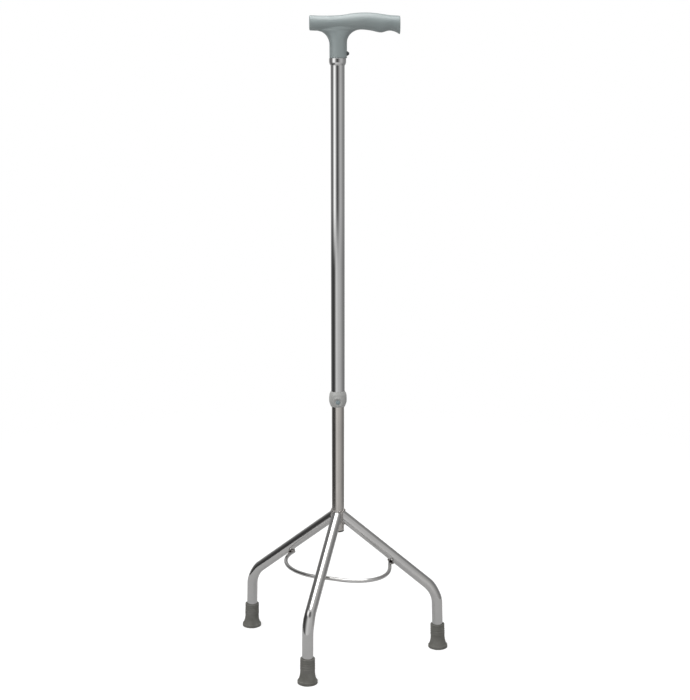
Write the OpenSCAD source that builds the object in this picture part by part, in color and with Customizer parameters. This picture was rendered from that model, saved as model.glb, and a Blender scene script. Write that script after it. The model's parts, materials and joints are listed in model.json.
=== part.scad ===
// Three-legged walking cane: T-shaped grip, telescoping steel column, braced tripod base.
// The grip runs along X with its nose towards -X, the column stands on the Z axis,
// and the floor is Z = 0.

/* [Column] */
// Height from the floor to the top of the grip
cane_height = 938; // [880:1:1000]
// Outer diameter of the upper tube
upper_tube_od = 20; // [17:0.1:24]
// Wall of the upper tube
upper_tube_wall = 0.8; // [0.6:0.05:1.2]
// Wall of the lower tube
lower_tube_wall = 1; // [0.8:0.05:1.4]
// Radial gap between the two tubes
tube_gap = 0.08; // [0.05:0.01:0.1]
// Height of the lower tube's bottom end
stem_bottom_z = 180; // [150:1:185]
// Length of the lower tube above the collar's bottom edge
stem_overlap = 104; // [80:1:160]

/* [Height adjuster] */
// Number of holes in the upper tube
hole_count = 7; // [5:1:8]
// Distance between two holes
hole_pitch = 25; // [20:1:30]
// Holes left for making the cane longer
holes_below = 1; // [0:1:2]
// Height of the lowest hole above the collar's top edge
hole_start = 11; // [8:1:20]
// Diameter of the height button
height_button_od = 6.2; // [5:0.1:7]
// How far the height button stands out of the upper tube
height_button_proud = 2.8; // [2:0.1:4]
// Radial gap round a button in its hole
button_gap = 0.3; // [0.1:0.05:0.4]

/* [Collar] */
// Height of the collar's bottom edge
collar_z = 371; // [340:1:400]
// Height of the collar
collar_height = 23; // [18:0.5:30]
// Thickness of the collar at its widest part
collar_wall = 3; // [2:0.1:5]
// Height of the plastic bush in the collar
bush_height = 4.5; // [4:0.5:9]
// Radial gap between the bush and the lower tube
bush_gap = 0.06; // [0.03:0.01:0.1]
// Diameter of the rivet's shank
rivet_shank = 3.2; // [2:0.1:4]
// Diameter of the rivet's domed head
rivet_head = 7; // [5:0.1:8]
// Height of the rivet above the collar's bottom edge
rivet_up = 8; // [7.5:0.5:12]

/* [Grip] */
// Distance from the column's axis to the end of the nose
nose_length = 39.8; // [34:0.5:50]
// Distance from the column's axis to the end of the grip
grip_length = 88; // [74:0.5:106]
// Width of the grip across the palm
grip_width = 28; // [23:0.5:34]
// Distance from the column's axis to the first finger groove
groove_x = 35; // [30:0.5:40]
// Distance from the grip's end to the swell between the grooves
swell_back = 27; // [22:0.5:30]
// Distance from the grip's end to the second finger groove
end_groove_back = 14; // [10:0.5:17]
// Wall of the neck round the tube
neck_wall = 2.4; // [2.2:0.1:4]
// How far the neck stands off the column's axis, towards the grip's end
neck_offset = 0.9; // [0:0.1:1.5]
// Height from the neck's foot to the top of the grip
neck_drop = 63; // [58:1:76]
// Depth of the tube in the neck
tube_seat = 40; // [33:1:42]
// Diameter of the grip's lock button
grip_button_od = 6.6; // [5:0.1:7]
// How far the grip's lock button stands out of the neck
grip_button_proud = 3.2; // [2:0.1:4]
// Height of the grip's lock button above the neck's foot
grip_button_up = 6.5; // [6:0.5:10]

/* [Ferrule] */
// Height of the metal cup under the neck
ferrule_height = 10.5; // [8:0.5:13]
// How far the metal cup stands out from the tube
ferrule_out = 2.1; // [1.8:0.1:4]
// Wall of the metal cup
ferrule_wall = 0.8; // [0.6:0.05:1]
// Thickness of the metal cup's floor
ferrule_floor = 2.5; // [2:0.1:4]

/* [Springs] */
// Thickness of the spring strip
strip = 0.6; // [0.4:0.05:0.8]
// Width of the spring strip
strip_width = 6; // [4:0.1:7]
// Length from a button down to the bend of its spring
spring_drop = 32; // [26:1:40]
// Radius of the bend of a spring
spring_bend = 2.6; // [2:0.1:3.2]
// Length of a spring's legs past the button's axis
spring_tail = 6; // [4:0.5:8]
// Gap between a spring and what it leans on
spring_gap = 0.05; // [0.02:0.01:0.1]

/* [Base] */
// Outer diameter of the leg tubes
leg_od = 16; // [13:0.1:19]
// Wall of the leg tubes
leg_wall = 1.2; // [1:0.05:1.6]
// Angle between the lone leg and each of the other two
leg_spread = 100; // [90:1:120]
// Turn of the whole base under the grip
base_turn = -16.7; // [-30:0.1:30]
// Distance from the column's axis to the middle of a foot
foot_radius = 152.5; // [127:0.5:183]
// Height at which the legs' centre lines meet
hub_z = 207.5; // [200:0.5:249]
// Height at which the two straight stretches of a leg would meet
knee_z = 89.3; // [75:0.1:107]
// Radius of the bend in a leg
bend_radius = 40; // [33:0.5:48]
// Extra wall that bending leaves, inside and outside
bend_swell = 0.02; // [0.01:0.01:0.05]
// Outward lean of the lower part of a leg
leg_lean = 1.7; // [0:0.1:5]
// Size of the weld bead round a leg
hub_bead = 1.8; // [1:0.1:2.5]

/* [Brace ring] */
// Radius of the brace ring's centre line
ring_radius = 78.9; // [66:0.1:95]
// How far the rod bows out between the lone leg and the leg on the +X side
ring_bow = 20; // [0:1:24]
// Diameter of the brace ring's rod
ring_rod = 5.5; // [4:0.1:6]
// Angle that the rod runs on past the outer legs
ring_overhang = 4; // [3:0.5:10]
// Radius of the weld beads on the ring
ring_bead = 2.6; // [2:0.1:3]

/* [Rubber tips] */
// Height of a rubber tip
tip_height = 37; // [31:0.5:45]
// Wall of a rubber tip round the leg, at its top
tip_wall = 2.25; // [1.8:0.05:3.5]
// Diameter of a rubber tip on the floor
tip_flange_od = 29; // [26:0.1:35]
// Height of a rubber tip's flange
tip_flange_height = 5; // [4:0.1:8]
// Height at which a rubber tip's slope ends
tip_slope_z = 13; // [11:0.5:16]
// Radius of the flange's rounded edge
tip_edge = 2; // [1:0.1:2.4]
// Rubber under the washer
tip_floor = 6.5; // [5:0.1:8]
// Thickness of the steel washer in a tip
washer = 1.5; // [1:0.1:2]
// Diameter of the hole in the washer
washer_hole = 6; // [4:0.1:8]

/* [Bottom plug] */
// Thickness of the plug's flange
plug_flange = 2; // [1.5:0.1:3]
// Length of the plug's spigot in the lower tube
plug_spigot = 9; // [6:0.5:12]
// Wall of the plug
plug_wall = 1.6; // [1.2:0.1:2]

/* [Hidden] */
$fn = 64;

// how far a cutting solid runs past what it cuts
over = 1;
// longer than the base is wide
far = 400;

// tubes
upper_r = upper_tube_od / 2;
upper_bore_r = upper_r - upper_tube_wall;
lower_r = upper_bore_r - tube_gap;
lower_bore_r = lower_r - lower_tube_wall;
upper_bottom_z = collar_z + bush_height;
neck_z = cane_height - neck_drop;
upper_top_z = neck_z + tube_seat;
stem_top_z = collar_z + stem_overlap;

// height adjuster
first_hole_z = collar_z + collar_height + hole_start;
height_button_z = first_hole_z + holes_below * hole_pitch;
height_button_r = height_button_od / 2;

// buttons: a flange inside the tube, and a short straight shank under the cone outside
flange_thickness = 1;
flange_gap = 0.1;
button_land = 0.4;
button_nose = 0.45;
height_flange_r = height_button_r + 0.7;
height_flange_out = sqrt(pow(lower_bore_r, 2) - pow(height_flange_r, 2)) - flange_gap;
height_flange_in = height_flange_out - flange_thickness;

// collar
collar_r = upper_r + collar_wall;
collar_lip_r = upper_r + 0.7;
collar_round = 8;
collar_round_r = 12.8;
collar_top_r = upper_r + 0.4;
collar_slope = 4;
collar_shoulder = 3;
collar_shoulder_r = collar_r - 1;
rivet_recess = 1.3;
rivet_seat_od = rivet_head + 1.4;
rivet_dome = 1.6;
rivet_tail = 0.5;
rivet_seat_x = collar_r - rivet_recess;
rivet_z = collar_z + rivet_up;

// neck and its button
neck_r = upper_r + neck_wall;
neck_side_x = neck_offset + neck_r;
grip_button_z = neck_z + grip_button_up;
grip_button_r = grip_button_od / 2;
grip_flange_r = grip_button_r + 1;
grip_flange_out = sqrt(pow(upper_bore_r, 2) - pow(grip_flange_r, 2)) - flange_gap;
grip_flange_in = grip_flange_out - flange_thickness;
ferrule_r = upper_r + ferrule_out;
ferrule_seat_r = ferrule_r - ferrule_wall;
ferrule_round_r = ferrule_out - 0.3;
ferrule_z = neck_z - ferrule_height;
spigot_z = ferrule_z + ferrule_floor;
spigot_top_z = neck_z + 4;

// sections across the grip: x, depth of the top, depth of the underside, width
slice = 0.5;
grip_sections = [
    [-nose_length + slice / 2, 4, 24.5, grip_width - 4],
    [-neck_r, 3.5, 25, grip_width - 1],
    [groove_x, 0, 23, grip_width],
    [grip_length - swell_back, 1, 27, grip_width],
    [grip_length - end_groove_back, 3, 24.5, grip_width - 1],
    [grip_length - slice / 2, 5, 30.5, grip_width - 2]
];

// levels of the fillet over the neck: depth, run towards -X, run towards +X, width
fillet_top = [24, 14, 11, grip_width - 3];
fillet_middle = [35, 2, 1.5, 2 * neck_r + 1];
fillet_foot = [44, 0, 0, 2 * neck_r];
fillet_foot_z = cane_height - fillet_foot[0];

// legs: the upper stretch falls at leg_fall, the bend turns it by bend_angle
leg_r = leg_od / 2;
leg_bore_r = leg_r - leg_wall;
knee_radius = foot_radius - knee_z * tan(leg_lean);
leg_fall = atan2(hub_z - knee_z, knee_radius);
bend_angle = 90 - leg_lean - leg_fall;
bend_tangent = bend_radius * tan(bend_angle / 2);
upper_leg = norm([knee_radius, hub_z - knee_z]) - bend_tangent;
bend_x = knee_radius - bend_tangent * cos(leg_fall) - bend_radius * sin(leg_fall);
bend_z = knee_z + bend_tangent * sin(leg_fall) - bend_radius * cos(leg_fall);
lower_leg = knee_z / cos(leg_lean) - bend_tangent;
leg_end = tip_floor + washer;
sector_gap = 0.1;
lone_turn = base_turn - 90;
leg_turns = [lone_turn - leg_spread, lone_turn, lone_turn + leg_spread];

// brace ring: its rod lies under the legs and touches each of them
ring_z = hub_z - ring_radius * tan(leg_fall) - (leg_r + ring_rod / 2) / cos(leg_fall);
ring_end = leg_spread + ring_overhang;
ring_steps = 72;
rod_sides = 12;
ring_contact = (hub_z - ring_z) * sin(leg_fall) + ring_radius * cos(leg_fall);
bead_beside = ring_rod / 2 + 0.9;
bead_below = leg_r + 0.8;

// rubber tips: the draft of the sleeve, and how far the foot runs on before it is cut level
tip_top_r = leg_r + tip_wall;
tip_draft = 0.3;
tip_sink = 1;

// How far the rod bows out at an angle from the lone leg
function bow(angle) =
    angle > 0 && angle < leg_spread ? ring_bow * pow(sin(180 * angle / leg_spread), 2) : 0;

// A point of the rod's centre line, seen from above, and the unit vector along the rod there
function rod_point(angle) = (ring_radius + bow(angle)) * [cos(angle), sin(angle)];
function rod_ahead(angle) =
    let (chord = rod_point(angle + 0.5) - rod_point(angle - 0.5))
    chord / norm(chord);

// A point on the rod's surface: side 0 faces outwards, a quarter turn further faces up
function rod_skin(angle, side) =
    let (middle = rod_point(angle), ahead = rod_ahead(angle), out = ring_rod / 2 * cos(side))
    [middle[0] + out * ahead[1], middle[1] - out * ahead[0], ring_rod / 2 * sin(side)];

// A thin upright oval across the grip
module grip_section(section) {
    height = section[2] - section[1];
    translate([section[0], 0, cane_height - section[1] - height / 2])
        rotate([0, 90, 0])
            linear_extrude(slice, center = true)
                scale([height / section[3], 1])
                    circle(d = section[3], $fn = 32);
}

// A thin level oval across the neck
module neck_section(level) {
    back_x = neck_offset - neck_r - level[1];
    front_x = neck_side_x + level[2];
    translate([(back_x + front_x) / 2, 0, cane_height - level[0]])
        linear_extrude(slice, center = true)
            scale([(front_x - back_x) / level[3], 1])
                circle(d = level[3], $fn = 32);
}

// The grip: hulls between its sections, a neck sleeve and a spigot for the metal cup
module handle_grip() {
    color("#8a9092")
    difference() {
        union() {
            for (i = [0 : len(grip_sections) - 2])
                hull() {
                    grip_section(grip_sections[i]);
                    grip_section(grip_sections[i + 1]);
                }
            hull() {
                neck_section(fillet_top);
                neck_section(fillet_middle);
            }
            hull() {
                neck_section(fillet_middle);
                neck_section(fillet_foot);
            }
            translate([neck_offset, 0, neck_z])
                cylinder(h = fillet_foot_z - neck_z, r = neck_r);
            translate([0, 0, spigot_z])
                cylinder(h = spigot_top_z - spigot_z, r = ferrule_seat_r);
        }
        translate([0, 0, ferrule_z])
            cylinder(h = upper_top_z - ferrule_z, r = upper_r);
        translate([0, 0, grip_button_z])
            rotate([0, 90, 0])
                cylinder(h = neck_side_x + over, r = grip_button_r + button_gap);
    }
}

// A metal cup that closes the neck's foot round the tube
module handle_ferrule() {
    color("silver")
    translate([0, 0, ferrule_z])
        rotate_extrude()
            difference() {
                union() {
                    translate([upper_r, 0])
                        square([ferrule_r - upper_r - ferrule_round_r, ferrule_height]);
                    translate([upper_r, ferrule_round_r])
                        square([ferrule_r - upper_r, ferrule_height - ferrule_round_r]);
                    translate([ferrule_r - ferrule_round_r, ferrule_round_r])
                        circle(r = ferrule_round_r);
                }
                translate([upper_r - over, ferrule_floor])
                    square([ferrule_seat_r - upper_r + over, ferrule_height]);
                translate([0, -over])
                    square([upper_r, ferrule_height + 2 * over]);
            }
}

// A button on the +X side: flange against the spring, shank, and a cone-shaped nose
module button(flange_in, flange_out, flange_r, shank_r, tip_x, nose) {
    rotate([0, 90, 0])
        rotate_extrude()
            polygon([
                [0, flange_in],
                [flange_r, flange_in],
                [flange_r, flange_out],
                [shank_r, flange_out],
                [shank_r, tip_x - nose],
                [shank_r * button_nose, tip_x],
                [0, tip_x]
            ]);
}

function unit(v) = v / norm(v);
function stretch(points, i) = unit(points[i + 1] - points[i]);

// The corner of a strip's edge at point i: half the strip's thickness off both its stretches
function edge_point(points, i, half) =
    let (
        before = stretch(points, max(i - 1, 0)),
        after = stretch(points, min(i, len(points) - 2)),
        across = unit([-before[1] - after[1], before[0] + after[0]])
    )
    points[i] + across * half / (across * [-before[1], before[0]]);

// A flat strip that follows points in the XZ plane
module strip_path(points) {
    last = len(points) - 1;
    rotate([90, 0, 0])
        linear_extrude(strip_width, center = true)
            polygon(concat(
                [for (i = [0 : last]) edge_point(points, i, strip / 2)],
                [for (i = [last : -1 : 0]) edge_point(points, i, -strip / 2)]
            ));
}

// A bent spring: one leg stands behind a button at x = lean_x, the other leans on the bore
module leaf_spring(lean_x, bore_r) {
    wall_x = sqrt(pow(bore_r, 2) - pow(strip_width / 2, 2)) - spring_gap - strip / 2;
    near_x = lean_x - spring_gap - strip / 2;
    bend = [for (a = [180 : 15 : 360]) spring_bend * [cos(a), sin(a)] - [0, spring_drop]];
    strip_path(concat(
        [[-wall_x, spring_tail], [-wall_x, 0]],
        bend,
        [[near_x, -spring_tail], [near_x, spring_tail]]
    ));
}

module handle_button() {
    color("#3c4242")
    translate([0, 0, grip_button_z])
        button(grip_flange_in, grip_flange_out, grip_flange_r, grip_button_r,
            neck_side_x + grip_button_proud, grip_button_proud - button_land);
}

module handle_spring() {
    color("#70747a")
    translate([0, 0, grip_button_z])
        leaf_spring(grip_flange_in, upper_bore_r);
}

// The outer tube, with the grip button's hole and the row of height holes at the back
module upper_tube() {
    color("silver")
    difference() {
        translate([0, 0, upper_bottom_z])
            cylinder(h = upper_top_z - upper_bottom_z, r = upper_r);
        translate([0, 0, upper_bottom_z - over])
            cylinder(h = upper_top_z - upper_bottom_z + 2 * over, r = upper_bore_r);
        translate([0, 0, grip_button_z])
            rotate([0, 90, 0])
                cylinder(h = upper_r + over, r = grip_button_r + button_gap);
        for (i = [0 : hole_count - 1])
            translate([0, 0, first_hole_z + i * hole_pitch])
                rotate([-90, 0, 0])
                    cylinder(h = upper_r + over, r = height_button_r + button_gap);
        translate([0, 0, rivet_z])
            rotate([90, 0, 0])
                cylinder(h = upper_r + over, d = rivet_shank);
    }
}

// The collar on the upper tube's bottom end, with a flat seat for the rivet's head
module lock_collar() {
    color("#8f9294")
    difference() {
        translate([0, 0, collar_z])
            rotate_extrude()
                union() {
                    translate([upper_r, collar_round])
                        square([collar_wall,
                            collar_height - collar_round - collar_slope - collar_shoulder]);
                    translate([upper_r, 0])
                        square([collar_lip_r - upper_r, collar_round]);
                    intersection() {
                        translate([collar_lip_r, 0])
                            square([collar_r - collar_lip_r, collar_round]);
                        translate([collar_r - collar_round_r, collar_round])
                            circle(r = collar_round_r);
                    }
                    polygon([
                        [upper_r, collar_height - collar_slope - collar_shoulder],
                        [collar_r, collar_height - collar_slope - collar_shoulder],
                        [collar_shoulder_r, collar_height - collar_slope],
                        [collar_top_r, collar_height],
                        [upper_r, collar_height]
                    ]);
                }
        translate([0, -rivet_seat_x, rivet_z])
            rotate([90, 0, 0])
                cylinder(h = rivet_recess + over, d = rivet_seat_od);
        translate([0, 0, rivet_z])
            rotate([90, 0, 0])
                cylinder(h = collar_r + over, d = rivet_shank);
    }
}

// A plastic ring below the upper tube that the lower tube slides through
module collar_bush() {
    color("#5a5d60")
    translate([0, 0, collar_z])
        difference() {
            cylinder(h = bush_height, r = upper_r);
            translate([0, 0, -over])
                cylinder(h = bush_height + 2 * over, r = lower_r + bush_gap);
        }
}

// Rivet through the collar and the tube's wall, its domed head on the collar's seat
module collar_rivet() {
    sphere_r = (pow(rivet_head / 2, 2) + pow(rivet_dome, 2)) / (2 * rivet_dome);
    color("#9aa2a8")
    translate([0, 0, rivet_z])
        rotate([90, 0, 0])
            union() {
                difference() {
                    cylinder(h = rivet_seat_x + rivet_tail, d = rivet_shank);
                    rotate([90, 0, 0])
                        cylinder(h = 2 * rivet_shank, r = upper_bore_r, center = true, $fn = 96);
                }
                translate([0, 0, rivet_seat_x])
                    intersection() {
                        cylinder(h = rivet_dome, d = rivet_head);
                        translate([0, 0, rivet_dome - sphere_r])
                            sphere(r = sphere_r);
                    }
            }
}

module height_button() {
    color("#9aa2a8")
    translate([0, 0, height_button_z])
        rotate([0, 0, 90])
            button(height_flange_in, height_flange_out, height_flange_r, height_button_r,
                upper_r + height_button_proud, height_button_proud - button_land);
}

module height_spring() {
    color("#70747a")
    translate([0, 0, height_button_z])
        rotate([0, 0, 90])
            leaf_spring(height_flange_in, lower_bore_r);
}

// The inner tube, which carries the legs
module lower_tube() {
    color("silver")
    difference() {
        translate([0, 0, stem_bottom_z])
            cylinder(h = stem_top_z - stem_bottom_z, r = lower_r);
        translate([0, 0, stem_bottom_z - over])
            cylinder(h = stem_top_z - stem_bottom_z + 2 * over, r = lower_bore_r);
        translate([0, 0, height_button_z])
            rotate([-90, 0, 0])
                cylinder(h = upper_r, r = height_button_r + button_gap);
    }
}

// Plastic plug in the lower tube's open bottom end
module stem_plug() {
    color("#3a3a38")
    translate([0, 0, stem_bottom_z])
        difference() {
            union() {
                translate([0, 0, -plug_flange])
                    cylinder(h = plug_flange, r = lower_r);
                cylinder(h = plug_spigot, r = lower_bore_r);
            }
            cylinder(h = plug_spigot + over, r = lower_bore_r - plug_wall);
        }
}

// The sector round the column that one leg may fill
module leg_sector() {
    half = leg_spread / 2 - sector_gap;
    linear_extrude(far)
        polygon([
            [0, 0],
            [far * cos(half), -far * sin(half)],
            [far, 0],
            [far * cos(half), far * sin(half)]
        ]);
}

// The straight upper stretch of a leg, from the column's axis
module upper_stretch(r, length) {
    translate([0, 0, hub_z])
        rotate([0, 90 + leg_fall, 0])
            cylinder(h = length, r = r);
}

// The lower tube's outside round the hub
module hub_core(r) {
    translate([0, 0, stem_bottom_z - leg_od])
        cylinder(h = hub_z, r = r);
}

// A leg tube: coped round the lower tube, bent once, straight down into its tip
module leg(turn) {
    color("#a5a7a8")
    rotate([0, 0, turn])
        union() {
            difference() {
                intersection() {
                    upper_stretch(leg_r, upper_leg);
                    leg_sector();
                }
                upper_stretch(leg_bore_r, upper_leg + over);
                hub_core(lower_r);
            }
            translate([bend_x, 0, bend_z])
                rotate([90, 0, 0])
                    rotate([0, 0, leg_lean])
                        rotate_extrude(angle = bend_angle)
                            translate([bend_radius, 0])
                                difference() {
                                    circle(r = leg_r + bend_swell);
                                    circle(r = leg_bore_r - bend_swell);
                                }
            translate([foot_radius, 0, 0])
                rotate([0, -leg_lean, 0])
                    translate([0, 0, leg_end])
                        difference() {
                            cylinder(h = lower_leg - leg_end, r = leg_r);
                            translate([0, 0, -over])
                                cylinder(h = lower_leg - leg_end + 2 * over, r = leg_bore_r);
                        }
        }
}

module leg_left() leg(leg_turns[0]);
module leg_front() leg(leg_turns[1]);
module leg_right() leg(leg_turns[2]);

// Weld beads that follow the joints between the legs and the lower tube
module hub_welds() {
    color("#8d8f8f")
    for (turn = leg_turns)
        rotate([0, 0, turn])
            difference() {
                intersection() {
                    upper_stretch(leg_r + hub_bead, leg_od * 2);
                    hub_core(lower_r + hub_bead);
                    leg_sector();
                }
                upper_stretch(leg_r, leg_od * 3);
                hub_core(lower_r);
            }
}

// The rod bent round under the three legs
module brace_ring() {
    skin = [
        for (step = [0 : ring_steps])
            for (side = [0 : rod_sides - 1])
                rod_skin(ring_end * (2 * step / ring_steps - 1), 360 * side / rod_sides)
    ];
    last = ring_steps * rod_sides;
    first_end = [for (side = [rod_sides - 1 : -1 : 0]) side];
    last_end = [for (side = [0 : rod_sides - 1]) last + side];
    walls = [
        for (step = [0 : ring_steps - 1])
            for (side = [0 : rod_sides - 1])
                let (here = step * rod_sides, next = (side + 1) % rod_sides)
                [here + side, here + next, here + rod_sides + next, here + rod_sides + side]
    ];
    color("#a5a7a8")
    translate([0, 0, ring_z])
        rotate([0, 0, lone_turn])
            polyhedron(points = skin, faces = concat([first_end, last_end], walls), convexity = 4);
}

// Two weld beads at each crossing of the rod and a leg
module ring_welds() {
    color("#8d8f8f")
    for (turn = leg_turns)
        rotate([0, 0, turn])
            for (side = [-1, 1])
                difference() {
                    translate([0, 0, hub_z])
                        rotate([0, leg_fall, 0])
                            translate([ring_contact + side * bead_beside, 0, -bead_below])
                                sphere(r = ring_bead);
                    upper_stretch(leg_r, upper_leg);
                    translate([0, 0, ring_z])
                        rotate_extrude()
                            translate([ring_radius, 0])
                                circle(d = ring_rod);
                }
}

// A rubber tip on a leg's lower end, cut level at the floor
module tip(turn) {
    color("#69675f")
    rotate([0, 0, turn])
        difference() {
            translate([foot_radius, 0, 0])
                rotate([0, -leg_lean, 0])
                    difference() {
                        rotate_extrude()
                            union() {
                                polygon([
                                    [0, -tip_sink],
                                    [tip_flange_od / 2 - tip_edge, -tip_sink],
                                    [tip_flange_od / 2, tip_edge - tip_sink],
                                    [tip_flange_od / 2, tip_flange_height - tip_edge],
                                    [tip_flange_od / 2 - tip_edge, tip_flange_height],
                                    [tip_top_r + tip_draft, tip_slope_z],
                                    [tip_top_r, tip_height],
                                    [0, tip_height]
                                ]);
                                translate([tip_flange_od / 2 - tip_edge, tip_flange_height - tip_edge])
                                    circle(r = tip_edge);
                            }
                        translate([0, 0, tip_floor])
                            cylinder(h = tip_height, r = leg_r);
                    }
            translate([0, 0, -far])
                cylinder(h = far, r = far);
        }
}

module tip_left() tip(leg_turns[0]);
module tip_front() tip(leg_turns[1]);
module tip_right() tip(leg_turns[2]);

// Steel washers that keep the legs from cutting through the rubber
module tip_washers() {
    color("#8d8f8f")
    for (turn = leg_turns)
        rotate([0, 0, turn])
            translate([foot_radius, 0, 0])
                rotate([0, -leg_lean, 0])
                    translate([0, 0, tip_floor])
                        difference() {
                            cylinder(h = washer, r = leg_r);
                            translate([0, 0, -over])
                                cylinder(h = washer + 2 * over, d = washer_hole);
                        }
}

handle_grip();
handle_ferrule();
handle_button();
handle_spring();
upper_tube();
lock_collar();
collar_bush();
collar_rivet();
height_button();
height_spring();
lower_tube();
stem_plug();
leg_left();
leg_front();
leg_right();
hub_welds();
brace_ring();
ring_welds();
tip_left();
tip_front();
tip_right();
tip_washers();
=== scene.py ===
import json
import math
import bmesh
import bpy
import numpy as np
from mathutils import Matrix, Vector


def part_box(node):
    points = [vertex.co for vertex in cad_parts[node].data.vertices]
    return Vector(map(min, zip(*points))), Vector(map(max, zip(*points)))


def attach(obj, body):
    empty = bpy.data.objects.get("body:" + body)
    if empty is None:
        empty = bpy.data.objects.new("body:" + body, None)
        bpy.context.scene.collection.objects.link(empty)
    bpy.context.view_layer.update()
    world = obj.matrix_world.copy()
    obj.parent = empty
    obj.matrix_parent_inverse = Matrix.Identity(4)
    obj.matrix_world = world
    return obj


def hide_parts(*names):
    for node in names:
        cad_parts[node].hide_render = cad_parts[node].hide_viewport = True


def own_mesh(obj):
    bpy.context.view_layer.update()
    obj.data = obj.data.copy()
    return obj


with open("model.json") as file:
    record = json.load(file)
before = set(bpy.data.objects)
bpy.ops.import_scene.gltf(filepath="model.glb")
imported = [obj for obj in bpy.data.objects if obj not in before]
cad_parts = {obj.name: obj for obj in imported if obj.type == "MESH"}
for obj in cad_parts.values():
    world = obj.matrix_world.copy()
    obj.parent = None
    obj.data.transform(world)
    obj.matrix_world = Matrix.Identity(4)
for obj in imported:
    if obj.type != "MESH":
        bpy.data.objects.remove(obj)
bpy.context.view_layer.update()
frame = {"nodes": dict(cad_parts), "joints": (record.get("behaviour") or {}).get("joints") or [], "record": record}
print("frame loaded:", len(frame["nodes"]), "nodes")

mm = 0.001
fullTurn = 2 * math.pi
bodyOf = {node: body for body, nodes in frame["record"]["behaviour"]["bodies"].items() for node in nodes}


def boxOf(node):  # lowest and highest corner of a node, in mm
    low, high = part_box(node)
    return np.array(low) / mm, np.array(high) / mm


# ---------- shapes on grids ----------

def gridFaces(rows, cols, closeRows=False, closeCols=True):
    # face (i, j) joins the points (i, j), (i, j+1), (i+1, j+1), (i+1, j); a closed side wraps to 0
    i, j = np.meshgrid(np.arange(rows - (not closeRows)), np.arange(cols - (not closeCols)), indexing="ij")
    nextI, nextJ = (i + 1) % rows, (j + 1) % cols
    return np.stack([i * cols + j, i * cols + nextJ, nextI * cols + nextJ, nextI * cols + j], -1).reshape(-1, 4)


def gridPart(points, closeRows=False, closeCols=True):  # a (rows, cols, 3) grid as points and faces
    rows, cols = points.shape[:2]
    return points.reshape(-1, 3), gridFaces(rows, cols, closeRows, closeCols)


def putMesh(name, parts, sharpAngle=38, weld=1e-4):
    # parts are (points in mm, faces); poles and seams are merged, then normals are turned outwards
    counts = np.cumsum([0] + [len(points) for points, _ in parts])
    allPoints = np.vstack([points for points, _ in parts]) * mm
    allFaces = np.vstack([faces + start for (_, faces), start in zip(parts, counts)])
    mesh = bpy.data.meshes.new(name)
    mesh.from_pydata(allPoints, [], allFaces.tolist())
    work = bmesh.new()
    work.from_mesh(mesh)
    bmesh.ops.remove_doubles(work, verts=work.verts, dist=weld * mm)
    bmesh.ops.dissolve_degenerate(work, edges=work.edges, dist=weld * mm)
    bmesh.ops.recalc_face_normals(work, faces=work.faces)
    work.to_mesh(mesh)
    work.free()
    smoothShade(mesh, sharpAngle)
    piece = bpy.data.objects.new(name, mesh)
    bpy.context.scene.collection.objects.link(piece)
    return piece


def smoothShade(mesh, sharpAngle):
    mesh.shade_smooth()
    mesh.set_sharp_from_angle(angle=math.radians(sharpAngle))


def smoothCurve(knots, values, at):
    # cubic Hermite through the knots, each slope the centred difference of its neighbours
    knots, values = np.asarray(knots, float), np.asarray(values, float)
    slopes = np.gradient(values, knots)
    k = np.clip(np.searchsorted(knots, at, side="right") - 1, 0, len(knots) - 2)
    width = knots[k + 1] - knots[k]
    t = (at - knots[k]) / width
    return ((1 + 2 * t) * (1 - t) ** 2 * values[k] + t * (1 - t) ** 2 * width * slopes[k]
            + t * t * (3 - 2 * t) * values[k + 1] + t * t * (t - 1) * width * slopes[k + 1])


def bump(value, middle, width):  # 1 at the middle, falling as exp(-(distance / width)^2)
    return np.exp(-((value - middle) / width) ** 2)


def ease(value, start, end):  # 0 before start, 1 after end, t^2 (3 - 2t) between
    t = np.clip((value - start) / (end - start), 0, 1)
    return t * t * (3 - 2 * t)


def roundedProfile(corners, radii, steps=5):
    # each corner of a closed outline becomes an arc tangent to both its sides
    corners = np.asarray(corners, float)
    found = []
    for corner, before, after, radius in zip(corners, np.roll(corners, 1, 0), np.roll(corners, -1, 0), radii):
        if radius == 0:
            found.append(corner[None])
            continue
        toBefore = (before - corner) / np.linalg.norm(before - corner)
        toAfter = (after - corner) / np.linalg.norm(after - corner)
        half = math.acos(np.clip(toBefore @ toAfter, -1, 1)) / 2
        middle = (toBefore + toAfter) / np.linalg.norm(toBefore + toAfter)
        centre = corner + middle * radius / math.sin(half)
        side = toBefore - (toBefore @ middle) * middle
        side /= np.linalg.norm(side)
        angle = np.linspace(1, -1, steps)[:, None] * (math.pi / 2 - half)
        found.append(centre - radius * (np.cos(angle) * middle - np.sin(angle) * side))
    return np.vstack(found)


def revolve(profile, steps=64, closed=True):  # point (r, z) of the profile goes round Z: (r cos a, r sin a, z)
    angle = np.arange(steps) * fullTurn / steps
    radius, height = profile[:, 0, None], profile[:, 1, None]
    points = np.stack([radius * np.cos(angle), radius * np.sin(angle), height + 0 * angle], -1)
    return gridPart(points, closeRows=closed)


def placed(part, matrix=None, offset=(0, 0, 0)):  # turned by a 3x3 matrix, then moved
    points, faces = part
    if matrix is not None:
        points = points @ np.array(matrix).T
    return points + np.array(offset, float), faces


def turn(axis, degrees):
    return np.array(Matrix.Rotation(math.radians(degrees), 3, axis))


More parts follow.
